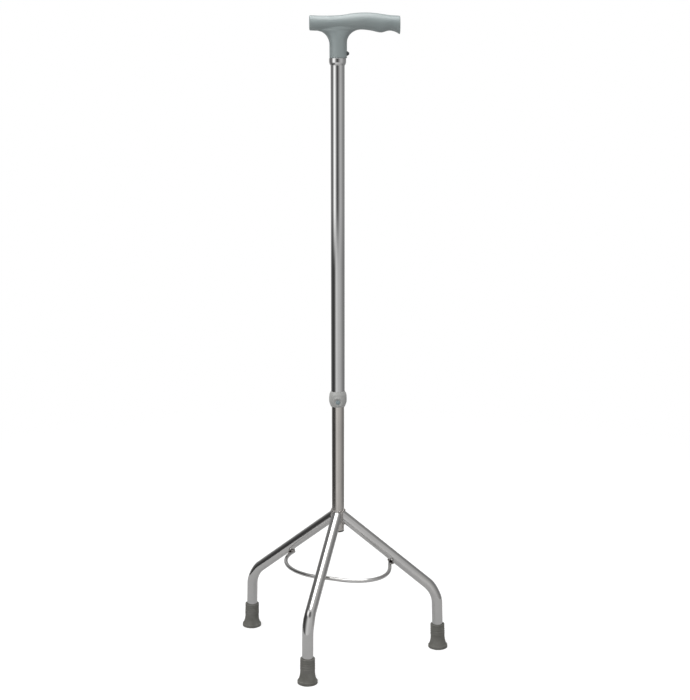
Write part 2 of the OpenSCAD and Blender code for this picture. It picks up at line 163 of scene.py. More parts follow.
def sweep(path, radius, steps=24, closed=False, up=(0, 0, 1)):
    # ring i lies across the path: P + r(i, a) (cos a N + sin a B), with N nearest to up and B = T x N
    path = np.asarray(path, float)
    ends = (np.roll(path, -1, 0) - np.roll(path, 1, 0)) if closed else np.gradient(path, axis=0)
    tangent = ends / np.linalg.norm(ends, axis=1, keepdims=True)
    up = np.broadcast_to(np.asarray(up, float), path.shape)
    normal = up - (up * tangent).sum(1, keepdims=True) * tangent
    normal /= np.linalg.norm(normal, axis=1, keepdims=True)
    across = np.cross(tangent, normal)
    angle = np.arange(steps) * fullTurn / steps
    radius = np.broadcast_to(np.asarray(radius, float), (len(path), steps))[..., None]
    points = path[:, None] + radius * (np.cos(angle)[:, None] * normal[:, None] + np.sin(angle)[:, None] * across[:, None])
    return points


def cut(piece, cutters, sharpAngle=38):  # takes closed parts out of a closed piece
    tool = putMesh("cutter", cutters)
    step = piece.modifiers.new("cut", "BOOLEAN")
    step.operation = "DIFFERENCE"
    step.solver = "MANIFOLD"
    step.object = tool
    applyModifiers(piece)
    bpy.data.objects.remove(tool)
    smoothShade(piece.data, sharpAngle)


def applyModifiers(piece):
    bpy.context.view_layer.update()
    ready = piece.evaluated_get(bpy.context.evaluated_depsgraph_get())
    mesh = bpy.data.meshes.new_from_object(ready)
    piece.modifiers.clear()
    piece.data = mesh


def rod(radius, length, steps=32):  # closed cylinder along +Z from 0
    return revolve(np.array([[0, 0], [radius, 0], [radius, length], [0, length]], float), steps, closed=False)


# ---------- finishes ----------

def newMaterial(name, colour, otherColour=None, patch=30, patchStretch=(1, 1, 1), rough=(0.3, 0.4), roughScale=60,
                metal=0.0, grain=0.0, grainScale=900, grainStretch=(1, 1, 1), grainDepth=0.0001, specular=0.5):
    # noise mixes two close colours, a second noise moves the roughness, a third is the fine relief
    material = bpy.data.materials.new(name)
    material.use_nodes = True
    nodes, links = material.node_tree.nodes, material.node_tree.links
    shader = nodes["Principled BSDF"]
    shader.inputs["Metallic"].default_value = metal
    shader.inputs["Specular IOR Level"].default_value = specular
    place = nodes.new("ShaderNodeTexCoord")

    def noise(scale, stretch, detail):
        mapping = nodes.new("ShaderNodeMapping")
        mapping.inputs["Scale"].default_value = stretch
        texture = nodes.new("ShaderNodeTexNoise")
        texture.inputs["Scale"].default_value = scale
        texture.inputs["Detail"].default_value = detail
        links.new(place.outputs["Object"], mapping.inputs["Vector"])
        links.new(mapping.outputs["Vector"], texture.inputs["Vector"])
        return texture.outputs["Fac"]

    mix = nodes.new("ShaderNodeMix")
    mix.data_type = "RGBA"
    mix.inputs["A"].default_value = (*colour, 1)
    mix.inputs["B"].default_value = (*(otherColour or colour), 1)
    spread = nodes.new("ShaderNodeMapRange")
    spread.inputs["From Min"].default_value = 0.35
    spread.inputs["From Max"].default_value = 0.65
    links.new(noise(patch, patchStretch, 4), spread.inputs["Value"])
    links.new(spread.outputs["Result"], mix.inputs["Factor"])
    links.new(mix.outputs["Result"], shader.inputs["Base Color"])
    level = nodes.new("ShaderNodeMapRange")
    level.inputs["From Min"].default_value = 0.3
    level.inputs["From Max"].default_value = 0.7
    level.inputs["To Min"].default_value = rough[0]
    level.inputs["To Max"].default_value = rough[1]
    links.new(noise(roughScale, patchStretch, 5), level.inputs["Value"])
    links.new(level.outputs["Result"], shader.inputs["Roughness"])
    if grain:
        relief = nodes.new("ShaderNodeBump")
        relief.inputs["Strength"].default_value = grain
        relief.inputs["Distance"].default_value = grainDepth
        links.new(noise(grainScale, grainStretch, 3), relief.inputs["Height"])
        links.new(relief.outputs["Normal"], shader.inputs["Normal"])
    return material


finishes = {
    "grip_plastic": newMaterial("greyGripPlastic", (0.25, 0.29, 0.292), (0.28, 0.318, 0.318), patch=22,
                                rough=(0.3, 0.38), roughScale=90, grain=0.3, grainScale=1500),
    "column_chrome": newMaterial("columnChrome", (0.63, 0.63, 0.625), (0.6, 0.6, 0.6), patch=14,
                                 rough=(0.05, 0.11), roughScale=35, metal=1, grain=0.05,
                                 grainScale=500, grainStretch=(1, 1, 0.06)),
    # lower tube's chrome; its warm tint is a painted warm reflection, the chrome itself is the tube's own finish
    "stem_chrome": newMaterial("stemChromeWarmReflection", (0.6, 0.57, 0.54), (0.55, 0.525, 0.5), patch=18,
                               rough=(0.1, 0.2), roughScale=45, metal=1, grain=0.08,
                               grainScale=600, grainStretch=(1, 1, 0.05)),
    "leg_chrome": newMaterial("legChrome", (0.64, 0.63, 0.62), (0.58, 0.575, 0.57), patch=20,
                              rough=(0.06, 0.15), roughScale=50, metal=1, grain=0.06, grainScale=420),
    "weld_metal": newMaterial("weldMetal", (0.5, 0.48, 0.46), (0.33, 0.31, 0.3), patch=160,
                              rough=(0.22, 0.42), roughScale=200, metal=1, grain=0.4, grainScale=1200),
    "collar_plastic": newMaterial("greyCollarPlastic", (0.38, 0.382, 0.372), (0.43, 0.432, 0.42), patch=60,
                                  rough=(0.28, 0.4), roughScale=150, grain=0.2, grainScale=1800),
    "bush_plastic": newMaterial("bushPlastic", (0.11, 0.115, 0.12), (0.14, 0.145, 0.15), patch=90,
                                rough=(0.35, 0.5), roughScale=200, grain=0.2, grainScale=1500),
    "plug_plastic": newMaterial("plugPlastic", (0.035, 0.035, 0.034), (0.06, 0.06, 0.057), patch=110,
                                rough=(0.4, 0.6), roughScale=160, grain=0.3, grainScale=1400),
    "bright_steel": newMaterial("brightSteel", (0.55, 0.58, 0.6), (0.48, 0.51, 0.53), patch=180,
                                rough=(0.16, 0.28), roughScale=300, metal=1, grain=0.1, grainScale=1500),
    "rivet": newMaterial("dullRivet", (0.3, 0.36, 0.375), (0.25, 0.31, 0.33), patch=200,
                         rough=(0.35, 0.5), roughScale=300, metal=0.35, grain=0.15, grainScale=1500),
    # the grip's button is coloured near black all over and is not metallic
    "dark_steel": newMaterial("darkButton", (0.045, 0.052, 0.053), (0.065, 0.072, 0.073), patch=160,
                              rough=(0.3, 0.45), roughScale=260, grain=0.2, grainScale=1500),
    "spring_steel": newMaterial("springSteel", (0.36, 0.36, 0.37), (0.27, 0.27, 0.29), patch=120,
                                rough=(0.25, 0.4), roughScale=220, metal=1, grain=0.1, grainScale=900),
    "tip_rubber": newMaterial("dustyRubber", (0.128, 0.126, 0.112), (0.175, 0.172, 0.158), patch=70,
                              rough=(0.62, 0.8), roughScale=180, grain=0.5, grainScale=1300, specular=0.35),
}
print("finishes made:", len(finishes))


def finishPiece(piece, slot, *nodes, finish=None):  # material, body, and the nodes it stands for
    piece.data.materials.clear()
    piece.data.materials.append(finishes[finish or slot])
    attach(piece, bodyOf[nodes[0]])
    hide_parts(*nodes)
    print("piece", piece.name, len(piece.data.polygons), "faces")


# ---------- sizes shared by the pieces, from the frame ----------

outerLow, outerHigh = boxOf("upper_tube")
innerLow, innerHigh = boxOf("lower_tube")
outerRadius, innerRadius = outerHigh[0], innerHigh[0]
outerWall, innerWall = 0.8, 1.0
gripLow, gripHigh = boxOf("handle_grip")
cupLow, cupHigh = boxOf("handle_ferrule")
heightLow, heightHigh = boxOf("height_button")
pressLow, pressHigh = boxOf("handle_button")
heightButtonZ = (heightLow[2] + heightHigh[2]) / 2
pressButtonZ = (pressLow[2] + pressHigh[2]) / 2

# ---------- grip ----------

gripSizes = {
    # distance from the column, depth of the top, depth of the underside, half width
    "stations": [(-39.8, 3.8, 24.8, 11.4), (-28, 4.3, 25.2, 12.4), (-12, 4.4, 25, 13.2), (6, 3.4, 24.6, 13.4),
                 (21, 1.2, 24.2, 13.8), (36, 0.1, 23.6, 14), (48, 0.4, 25.1, 13.9), (61, 1.8, 27.6, 13.5),
                 (74, 3.6, 25, 13), (81, 4.1, 26.6, 12.9), (88, 4.5, 30.4, 12.7)],
    "squareness": 2.1,      # power of the section's superellipse
    "endEdge": 1.2,         # rounding of the two flat ends
    "neckRadius": 12.4,
    "neckOffset": 0.9,
    "backFillet": (17, 19.5, 45),     # run, rise, and depth at which it starts
    "frontFillet": (20, 18, 41.5),
    "neckWaist": 0.4,       # how much narrower the neck gets inside the grip
    "neckTopDepth": 20,     # the neck's shell ends inside the grip
    "voxel": 0.7,
    "smoothing": 6,
    "boreRadius": 10.02,
    "recessRadius": 3.6,
    "recessRim": 4.6,       # dished rim round the button
}


def gripBody(sizes):
    # row x, angle a: y = w cos^(2/n) a, z = middle + h sin^(2/n) a, drawn in near both ends by a quarter circle
    knots, tops, bottoms, widths = np.array(sizes["stations"]).T
    edge = sizes["endEdge"]
    arc = edge * (1 - np.cos(np.linspace(0, math.pi / 2, 6)))
    x = np.concatenate([knots[0] + arc, np.linspace(knots[0] + edge, knots[-1] - edge, 130)[1:-1],
                        knots[-1] - arc[::-1]])
    fromEnd = np.minimum(np.minimum(x - knots[0], knots[-1] - x), edge)
    inset = edge - np.sqrt(np.maximum(edge ** 2 - (edge - fromEnd) ** 2, 0))
    top = gripHigh[2] - smoothCurve(knots, tops, x) - inset
    bottom = gripHigh[2] - smoothCurve(knots, bottoms, x) + inset
    width = smoothCurve(knots, widths, x) - inset
    angle = np.arange(96) * fullTurn / 96
    power = 2 / sizes["squareness"]
    across = np.sign(np.cos(angle)) * np.abs(np.cos(angle)) ** power
    upward = np.sign(np.sin(angle)) * np.abs(np.sin(angle)) ** power
    x, top, bottom, width = (v[:, None] for v in (x, top, bottom, width))
    rings = np.stack([x + 0 * angle, width * across, (top + bottom) / 2 + (top - bottom) / 2 * upward], -1)
    return gridPart(capped(rings))


def capped(rings):  # a ring shrunk to its middle closes each end
    first, last = (np.broadcast_to(r.mean(0), r.shape)[None] for r in (rings[0], rings[-1]))
    return np.concatenate([first, rings, last])


def gripNeck(sizes):
    # level z: an oval whose ends run out as quarter ellipses, run (1 - sqrt(1 - u^2)), u the share of the rise
    z = np.linspace(gripLow[2] + cupHigh[2] - gripLow[2], gripHigh[2] - sizes["neckTopDepth"], 70)

    def runOut(fillet):
        run, rise, depth = fillet
        share = np.clip((z - (gripHigh[2] - depth)) / rise, 0, 1)
        return run * (1 - np.sqrt(1 - share ** 2))

    radius = sizes["neckRadius"]
    back = sizes["neckOffset"] - radius - runOut(sizes["backFillet"])
    front = sizes["neckOffset"] + radius + runOut(sizes["frontFillet"])
    width = radius - sizes["neckWaist"] * ease(z, gripHigh[2] - 38, gripHigh[2] - 22)
    angle = np.arange(96) * fullTurn / 96
    middle, half = ((front + back) / 2)[:, None], ((front - back) / 2)[:, None]
    rings = np.stack([middle + half * np.cos(angle), width[:, None] * np.sin(angle), z[:, None] + 0 * angle], -1)
    return gridPart(capped(rings))


def buildGrip(sizes):
    grip = putMesh("gripShell", [gripBody(sizes), gripNeck(sizes)])
    remesh = grip.modifiers.new("joinShells", "REMESH")
    remesh.mode = "VOXEL"
    remesh.voxel_size = sizes["voxel"] * mm
    soften = grip.modifiers.new("soften", "SMOOTH")
    soften.factor = 0.5
    soften.iterations = sizes["smoothing"]
    applyModifiers(grip)
    spigotRadius = cupHigh[0] - 0.8
    bore = placed(rod(sizes["boreRadius"], outerHigh[2] - gripLow[2] + 5, 64), offset=(0, 0, gripLow[2] - 5))
    recess = placed(rod(sizes["recessRadius"], 30), turn("Y", 90), (0, 0, pressButtonZ))
    rimX = sizes["neckOffset"] + sizes["neckRadius"]
    rim = placed(revolve(np.array([[0, 0], [sizes["recessRadius"], 0], [sizes["recessRim"] + 1, 2], [0, 2]], float),
                         48, closed=False), turn("Y", 90), (rimX - 0.9, 0, pressButtonZ))
    cut(grip, [bore], 32)
    cut(grip, [recess], 32)
    cut(grip, [rim], 32)
    finishPiece(grip, "grip_plastic", "handle_grip")


buildGrip(gripSizes)

# ---------- cup under the neck, and the grip's button ----------

cupSizes = {"wall": 0.8, "floor": 2.5, "round": 3.6, "foot": 1.3, "sideFrom": 5.2}


def buildCup(sizes):
    radius, low, high = cupHigh[0], cupLow[2], cupHigh[2]
    bore = outerRadius + 0.02
    outline = [(bore, low), (radius - sizes["foot"], low), (radius, low + sizes["sideFrom"]), (radius, high),
               (radius - sizes["wall"], high), (radius - sizes["wall"], low + sizes["floor"]), (bore, low + sizes["floor"])]
    profile = roundedProfile(outline, [0.3, sizes["round"], 3, 0.3, 0.2, 0, 0.2])
    finishPiece(putMesh("neckCup", [revolve(profile, 96)]), "column_chrome", "handle_ferrule")


buttonSizes = {"flange": 1.0, "flangeThickness": 1.0, "noseShare": 0.42, "land": 0.4}


def buttonPart(shank, inner, tip, noseLength, sizes):
    # flange inside the tube, straight shank, cone with a rounded nose; along +Z
    flange = shank + sizes["flange"]
    outline = [(0, inner), (flange, inner), (flange, inner + sizes["flangeThickness"]),
               (shank, inner + sizes["flangeThickness"]), (shank, tip - noseLength),
               (shank * sizes["noseShare"], tip), (0, tip)]
    return revolve(roundedProfile(outline, [0, 0.2, 0.2, 0.15, 0.5, 1.1, 0]), 48, closed=False)


def buildGripButton(sizes):
    part = buttonPart(3.3, pressLow[0], pressHigh[0], 2.8, sizes)
    piece = putMesh("gripButton", [placed(part, turn("Y", 90), (0, 0, pressButtonZ))])
    finishPiece(piece, "dark_steel", "handle_button")


def buildHeightButton(sizes):
    sizes = {**sizes, "flange": 0.7, "noseShare": 0.5}
    part = buttonPart(3.1, heightLow[1], heightHigh[1], 2.4, sizes)
    piece = putMesh("heightButton", [placed(part, turn("X", -90), (0, 0, heightButtonZ))])
    finishPiece(piece, "bright_steel", "height_button")


buildCup(cupSizes)
buildGripButton(buttonSizes)
buildHeightButton(buttonSizes)

# ---------- springs ----------

springSizes = {"thickness": 0.6, "width": 6.0, "drop": 32.0, "bend": 2.6, "tail": 6.0, "gap": 0.05}


def springPart(leanX, bore, sizes):
    # the strip's middle line runs down one leg, round the bend and up the other; a flat rounded box is swept along it
    wallX = math.sqrt(bore ** 2 - (sizes["width"] / 2) ** 2) - sizes["gap"] - sizes["thickness"] / 2
    nearX = leanX - sizes["gap"] - sizes["thickness"] / 2
    angle = np.radians(np.arange(180, 361, 10))
    bend = sizes["bend"] * np.stack([np.cos(angle), np.sin(angle)], -1) - [0, sizes["drop"]]
    line = np.vstack([[[-wallX, sizes["tail"]], [-wallX, 0]], bend, [[nearX, -sizes["tail"]], [nearX, sizes["tail"]]]])
    along = np.gradient(line, axis=0)
    along /= np.linalg.norm(along, axis=1, keepdims=True)
    off = np.stack([-along[:, 1], along[:, 0]], -1)
    half, side = sizes["thickness"] / 2, sizes["width"] / 2
    outline = roundedProfile([(-half, -side), (half, -side), (half, side), (-half, side)], [0.15] * 4, 3)
    flat = line[:, None] + outline[None, :, :1] * off[:, None]
    rings = np.stack([flat[..., 0], np.broadcast_to(outline[:, 1], flat.shape[:2]), flat[..., 1]], -1)
    return gridPart(capped(rings))


def buildSprings(sizes):
    pressTravel, heightTravel = (next(j["range_m"][1] for j in frame["joints"] if j["name"] == name) / mm
                                 for name in ("grip_button_press", "height_button_press"))
    grip = putMesh("gripSpring", [placed(springPart(pressLow[0], outerRadius - outerWall, sizes),
                                         offset=(0, 0, pressButtonZ))])
    finishPiece(grip, "spring_steel", "handle_spring")
    height = putMesh("heightSpring", [placed(springPart(heightLow[1], innerRadius - innerWall, sizes), turn("Z", 90),
                                             (0, 0, heightButtonZ))])
    finishPiece(height, "spring_steel", "height_spring")
    for piece, joint, travel, axis, lean in ((grip, "grip_button_press", pressTravel, 0, pressLow[0]),
                                             (height, "height_button_press", heightTravel, 1, heightLow[1])):
        low = min(piece.data.vertices, key=lambda v: v.co[axis]).co[axis]
        anchor, direction = [0, 0, 0], [0, 0, 0]
        anchor[axis], direction[axis] = low, 1
        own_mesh(piece)


buildSprings(springSizes)

# ---------- column ----------

tubeSizes = {"holeRadius": 3.4, "holePitch": 25.0, "holeCount": 7, "firstHoleBelowButton": 1,
             "rowLength": 3.0, "rim": 0.25}


def tubePart(radius, bore, low, high, rowLength, steps=96):
    # closed shell: up the outside, over a rounded rim, down the inside, in rows short enough for the holes
    outline = roundedProfile([(radius, low), (radius, high), (bore, high), (bore, low)], [tubeSizes["rim"]] * 4, 4)
    gaps = np.linalg.norm(np.roll(outline, -1, 0) - outline, axis=1)
    pieces = [start + (end - start) * np.linspace(0, 1, max(int(gap / rowLength), 1), endpoint=False)[:, None]
              for start, end, gap in zip(outline, np.roll(outline, -1, 0), gaps)]
    return revolve(np.vstack(pieces), steps)


def radialRod(radius, axis, degrees, z, length=14):
    return placed(rod(radius, length, 40), turn(axis, degrees), (0, 0, z))


def buildColumn(sizes):
    outer = putMesh("outerTube", [tubePart(outerRadius, outerRadius - outerWall, outerLow[2], outerHigh[2],
                                           sizes["rowLength"])])
    firstZ = heightButtonZ - sizes["firstHoleBelowButton"] * sizes["holePitch"]
    cut(outer, [radialRod(sizes["holeRadius"], "X", -90, firstZ + i * sizes["holePitch"])
                for i in range(sizes["holeCount"])]
        + [radialRod(3.6, "Y", 90, pressButtonZ), radialRod(1.6, "X", 90, rivetZ)])
    finishPiece(outer, "column_chrome", "upper_tube")
    inner = putMesh("innerTube", [tubePart(innerRadius, innerRadius - innerWall, innerLow[2], innerHigh[2],
                                           sizes["rowLength"])])
    cut(inner, [radialRod(sizes["holeRadius"], "X", -90, heightButtonZ)])
    finishPiece(inner, "stem_chrome", "lower_tube")


rivetLow, rivetHigh = boxOf("collar_rivet")
rivetZ = (rivetLow[2] + rivetHigh[2]) / 2
buildColumn(tubeSizes)

# ---------- collar ----------

rivetSizes = {"rise": 1.6, "shank": 1.6}
collarSizes = {
    # height over the bottom, radius
    "barrel": [(0, 10.5), (1.6, 11), (3.1, 11.65), (4.6, 12.2), (6.1, 12.65), (7.6, 12.92), (10, 13), (13.6, 12.92),
               (16.7, 12.72), (18.2, 12.45), (19.7, 11.9), (21.2, 11.2), (22.2, 10.75), (23, 10.4)],
    "seatRadius": 5.0,
    "rimRadius": 6.4,     # raised rim round the seat
    "rimRise": 0.9,
    "rimWidth": 1.0,
}


def buildCollar(sizes):
    # outer radius R(z) is a smooth barrel; the front is flattened to a round seat for the rivet, inside a raised rim
    low, high = boxOf("lock_collar")
    bottom, top = low[2], high[2]
    z = bottom + (top - bottom) * (1 - np.cos(np.linspace(0, math.pi, 81))) / 2
    heights, radii = np.array(sizes["barrel"]).T
    angle = np.arange(192) * fullTurn / 192
    belly = max(radii)
    outer = smoothCurve(bottom + heights, radii, z)[:, None] + 0 * angle
    front = np.angle(np.exp(1j * (angle + math.pi / 2)))
    facing = np.cos(front) > 0
    side, up = belly * np.sin(front), (z - rivetZ)[:, None]
    away = np.hypot(side, up)
    seatDepth = -rivetLow[1] - rivetSizes["rise"]     # the rivet's head stands on this plane
    flat = seatDepth / np.maximum(np.cos(front), 0.3)
    rim = sizes["rimRise"] * bump(away, sizes["rimRadius"], sizes["rimWidth"]) * facing
    outer = np.minimum(outer + rim, belly + 0.6)
    inSeat = (1 - ease(away, sizes["seatRadius"] - 0.25, sizes["seatRadius"] + 0.25)) * facing
    outer = outer + (np.minimum(flat, outer) - outer) * inSeat
    rows = np.stack([outer * np.cos(angle), outer * np.sin(angle), z[:, None] + 0 * angle], -1)
    boreZ = np.array([top, outerLow[2], outerLow[2], bottom])
    boreR = np.full(4, outerRadius + 0.02)
    inside = np.stack([boreR[:, None] * np.cos(angle), boreR[:, None] * np.sin(angle), boreZ[:, None] + 0 * angle], -1)
    collar = putMesh("collar", [gridPart(np.concatenate([rows, inside]), closeRows=True)], 45)
    finishPiece(collar, "collar_plastic", "lock_collar")


def buildRivet(sizes):
    # shank, then a spherical cap: radius S sin a, height S cos a, with S = (head^2 + rise^2) / (2 rise)
    head, shank, rise = (rivetHigh[0] - rivetLow[0]) / 2, sizes["shank"], sizes["rise"]
    seat = -rivetLow[1] - rise
    sphere = (head ** 2 + rise ** 2) / (2 * rise)
    angle = np.linspace(math.asin(head / sphere), 0, 14)
    dome = np.stack([sphere * np.sin(angle), seat + rise - sphere * (1 - np.cos(angle))], -1)
    profile = np.vstack([[(0, -rivetHigh[1]), (shank, -rivetHigh[1]), (shank, seat), (head - 0.1, seat)], dome])
    part = placed(revolve(profile, 48, closed=False), turn("X", 90), (0, 0, rivetZ))
    finishPiece(putMesh("collarRivet", [part]), "bright_steel", "collar_rivet", finish="rivet")


def buildBush():
    low, high = boxOf("collar_bush")
    bore = innerRadius + 0.06
    outline = [(bore, low[2]), (outerRadius, low[2]), (outerRadius, high[2]), (bore, high[2])]
    finishPiece(putMesh("collarBush", [revolve(roundedProfile(outline, [0.3, 0.3, 0.05, 0.3], 4), 96)]),
                "bush_plastic", "collar_bush")


def buildPlug():
    low, high = boxOf("stem_plug")
    spigot, core = innerRadius - innerWall, innerRadius - innerWall - 1.6
    outline = [(0, low[2] + 0.8), (2.2, low[2] + 0.8), (2.8, low[2]), (innerRadius, low[2]), (innerRadius, innerLow[2]),
               (spigot, innerLow[2]), (spigot - 0.3, high[2]), (core, high[2]), (core, innerLow[2]), (0, innerLow[2])]
    profile = roundedProfile(outline, [0, 0.3, 0.4, 0.7, 0.1, 0.1, 0.3, 0.3, 0.3, 0])
    finishPiece(putMesh("stemPlug", [revolve(profile, 64, closed=False)]), "plug_plastic", "stem_plug")


buildCollar(collarSizes)
buildRivet(rivetSizes)
buildBush()
buildPlug()

# ---------- base ----------

legSizes = {
    "radius": 8.0, "wall": 1.2, "hubZ": 207.5, "kneeZ": 89.3, "bendRadius": 40.0, "lean": 1.7, "spread": 100.0,
    "flatten": 0.9, "steps": 72,
}


def footPlace(side):  # middle of a foot on the floor: (turn in degrees, distance from the column)
    low, high = boxOf("tip_" + side)
    x, y = (low[0] + high[0]) / 2, (low[1] + high[1]) / 2
    return math.degrees(math.atan2(y, x)), math.hypot(x, y)


feet = {side: footPlace(side) for side in ("left", "front", "right")}
footRadius = np.mean([distance for _, distance in feet.values()])
lean = math.radians(legSizes["lean"])
kneeRadius = footRadius - legSizes["kneeZ"] * math.tan(lean)
fall = math.atan2(legSizes["hubZ"] - legSizes["kneeZ"], kneeRadius)
bendAngle = math.pi / 2 - lean - fall
bendRun = legSizes["bendRadius"] * math.tan(bendAngle / 2)
upperLength = math.hypot(kneeRadius, legSizes["hubZ"] - legSizes["kneeZ"]) - bendRun


def copeStart(radius, angle):
    # where each line of the leg leaves the stem or its neighbour: x = max(sqrt(R^2 - y^2), |y| / tan(half spread))
    across = radius * np.sin(angle)
    sideX = np.maximum(np.sqrt(innerRadius ** 2 - np.minimum(np.abs(across), innerRadius) ** 2),
                       np.abs(across) / math.tan(math.radians(legSizes["spread"] / 2 - 0.1)))
    return (sideX - radius * np.cos(angle) * math.sin(fall)) / math.cos(fall)


def legSurface(radius, sizes, swell=0.0):
    # rows along the leg, angle 0 on its upper side; straight, bend of angle b, straight
    angle = np.arange(sizes["steps"]) * fullTurn / sizes["steps"]
    start = copeStart(radius, angle)
    along = np.linspace(0, 1, 24)[:, None]
    bend = np.linspace(0, 1, 26)[1:-1]
    kneeLow = legSizes["kneeZ"] / math.cos(lean) - bendRun
    down = np.array([math.cos(fall), -math.sin(fall)])
    hub = np.array([0, sizes["hubZ"]])
    straight = start + (upperLength - start) * along
    rows = [(hub + straight[..., None] * down, np.full_like(straight, fall))]
    centre = hub + upperLength * down + sizes["bendRadius"] * np.array([-math.sin(fall), -math.cos(fall)])
    pitch = fall + bend * bendAngle
    arc = centre + sizes["bendRadius"] * np.stack([np.sin(pitch), np.cos(pitch)], -1)
    rows.append((np.broadcast_to(arc[:, None], (len(bend), len(angle), 2)), np.broadcast_to(pitch[:, None], (len(bend), len(angle)))))
    floorPoint = np.array([footRadius, 0])
    upright = np.array([-math.sin(lean), math.cos(lean)])
    height = np.linspace(kneeLow, boxOf("tip_washers")[1][2] + 0.1, 12)
    straightDown = floorPoint + height[:, None] * upright
    rows.append((np.broadcast_to(straightDown[:, None], (len(height), len(angle), 2)),
                 np.full((len(height), len(angle)), fall + bendAngle)))
    middle = np.concatenate([r[0] for r in rows])
    pitch = np.concatenate([r[1] for r in rows])
    inBend = np.concatenate([np.zeros(len(along)), np.sin(math.pi * bend) ** 2, np.zeros(len(height))])[:, None]
    reach = radius - swell * inBend * np.maximum(np.cos(angle), 0) ** 2 + 0.5 * swell * inBend * np.sin(angle) ** 2
    offX = reach * np.cos(angle) * np.sin(pitch)
    offZ = reach * np.cos(angle) * np.cos(pitch)
    return np.stack([middle[..., 0] + offX, reach * np.sin(angle) + 0 * offX, middle[..., 1] + offZ], -1)


def buildLegs(sizes):
    outside = legSurface(sizes["radius"], sizes, sizes["flatten"])
    inside = legSurface(sizes["radius"] - sizes["wall"], sizes, sizes["flatten"])
    part = gridPart(np.concatenate([outside, inside[::-1]]), closeRows=True)
    for side, (degrees, _) in feet.items():
        leg = putMesh("leg" + side.capitalize(), [placed(part, turn("Z", degrees))])
        finishPiece(leg, "leg_chrome", "leg_" + side)


def buildHubWelds():
    # a bead along each leg's cope curve, its radius rippled as 1 + 0.16 sin(28 a)
    angle = np.arange(224) * fullTurn / 224
    radius = legSizes["radius"]
    along = copeStart(radius, angle)
    curve = np.stack([along * math.cos(fall) + radius * np.cos(angle) * math.sin(fall), radius * np.sin(angle),
                      legSizes["hubZ"] - along * math.sin(fall) + radius * np.cos(angle) * math.cos(fall)], -1)
    outward = np.stack([np.cos(angle) * math.sin(fall), np.sin(angle), np.cos(angle) * math.cos(fall)], -1)
    ripple = 1.75 * (1 + 0.13 * np.sin(24 * angle) + 0.09 * np.sin(11 * angle + 1))[:, None]
    bead = gridPart(sweep(curve + 0.2 * outward, ripple, 14, closed=True, up=outward), closeRows=True)
    piece = putMesh("hubWelds", [placed(bead, turn("Z", degrees)) for degrees, _ in feet.values()], 60)
    finishPiece(piece, "weld_metal", "hub_welds")


ringLow, ringHigh = boxOf("brace_ring")
ringRod = (ringHigh[2] - ringLow[2]) / 2
ringZ = (ringHigh[2] + ringLow[2]) / 2
ringRadius = (legSizes["hubZ"] - ringZ - (legSizes["radius"] + ringRod) / math.cos(fall)) / math.tan(fall)
ringSizes = {"bow": 20.0, "overhang": 4.0, "edge": 0.6, "rings": 173}


def buildRing(sizes):
    # a rod under the legs, its ends rounded over: at angle a from the lone leg its middle line is R from the column,
    # and R + bow sin^2(pi a / spread) between the lone leg and the right one
    spread, edge = math.radians(legSizes["spread"]), sizes["edge"]
    end = spread + math.radians(sizes["overhang"])
    corner = np.linspace(0, math.pi / 2, 5)
    step = edge * (1 - np.cos(corner)) / ringRadius
    turns = np.concatenate([step - end, np.linspace(-end, end, sizes["rings"])[2:-2], (end - step)[::-1]])
    rounded = ringRod - edge + edge * np.sin(corner)
    radius = np.concatenate([rounded, np.full(sizes["rings"] - 4, ringRod), rounded[::-1]])
    bowed = sizes["bow"] * np.sin(math.pi * np.clip(turns / spread, 0, 1)) ** 2
    heading = math.radians(feet["front"][0]) + turns
    path = np.stack([(ringRadius + bowed) * np.cos(heading), (ringRadius + bowed) * np.sin(heading),
                     np.full(len(heading), ringZ)], -1)
    piece = putMesh("braceRing", [gridPart(capped(sweep(path, radius[:, None], 28)))])
    finishPiece(piece, "leg_chrome", "brace_ring")


def buildRingWelds():
    # two lumps beside the rod under each leg: an ellipsoid with ripples along its length
    contact = (legSizes["hubZ"] - ringZ) * math.sin(fall) + ringRadius * math.cos(fall)
    lift, angle = np.meshgrid(np.linspace(-math.pi / 2, math.pi / 2, 40), np.arange(32) * fullTurn / 32, indexing="ij")
    wave = 1 + 0.07 * np.sin(9 * lift)
    lump = np.stack([2.3 * wave * np.cos(lift) * np.cos(angle), 4.6 * np.sin(lift),
                     2.3 * wave * np.cos(lift) * np.sin(angle)], -1)
    along = np.array([math.cos(fall), 0, -math.sin(fall)])
    below = np.array([-math.sin(fall), 0, -math.cos(fall)])
    parts = []
    for degrees, _ in feet.values():
        for side in (-1, 1):
            place = (contact + side * (ringRod + 0.8)) * along + (legSizes["radius"] + 0.7) * below
            moved = placed(gridPart(lump), turn("Y", math.degrees(fall)), place + [0, 0, legSizes["hubZ"]])
            parts.append(placed(moved, turn("Z", degrees)))
    finishPiece(putMesh("ringWelds", parts, 60), "weld_metal", "ring_welds")


buildLegs(legSizes)
buildHubWelds()
buildRing(ringSizes)
buildRingWelds()

# ---------- rubber tips ----------

tipSizes = {"height": 37.0, "topRadius": 10.25, "draft": 0.3, "rimRise": 0.45, "rimHeight": 2.2, "flangeRadius": 14.5,
            "flangeHeight": 4.6, "slopeZ": 19.0, "slopePower": 2.3, "floor": 6.5, "sink": 1.0, "treadDepth": 1.2,
            "ribs": 0.4, "ribPitch": 3.6}


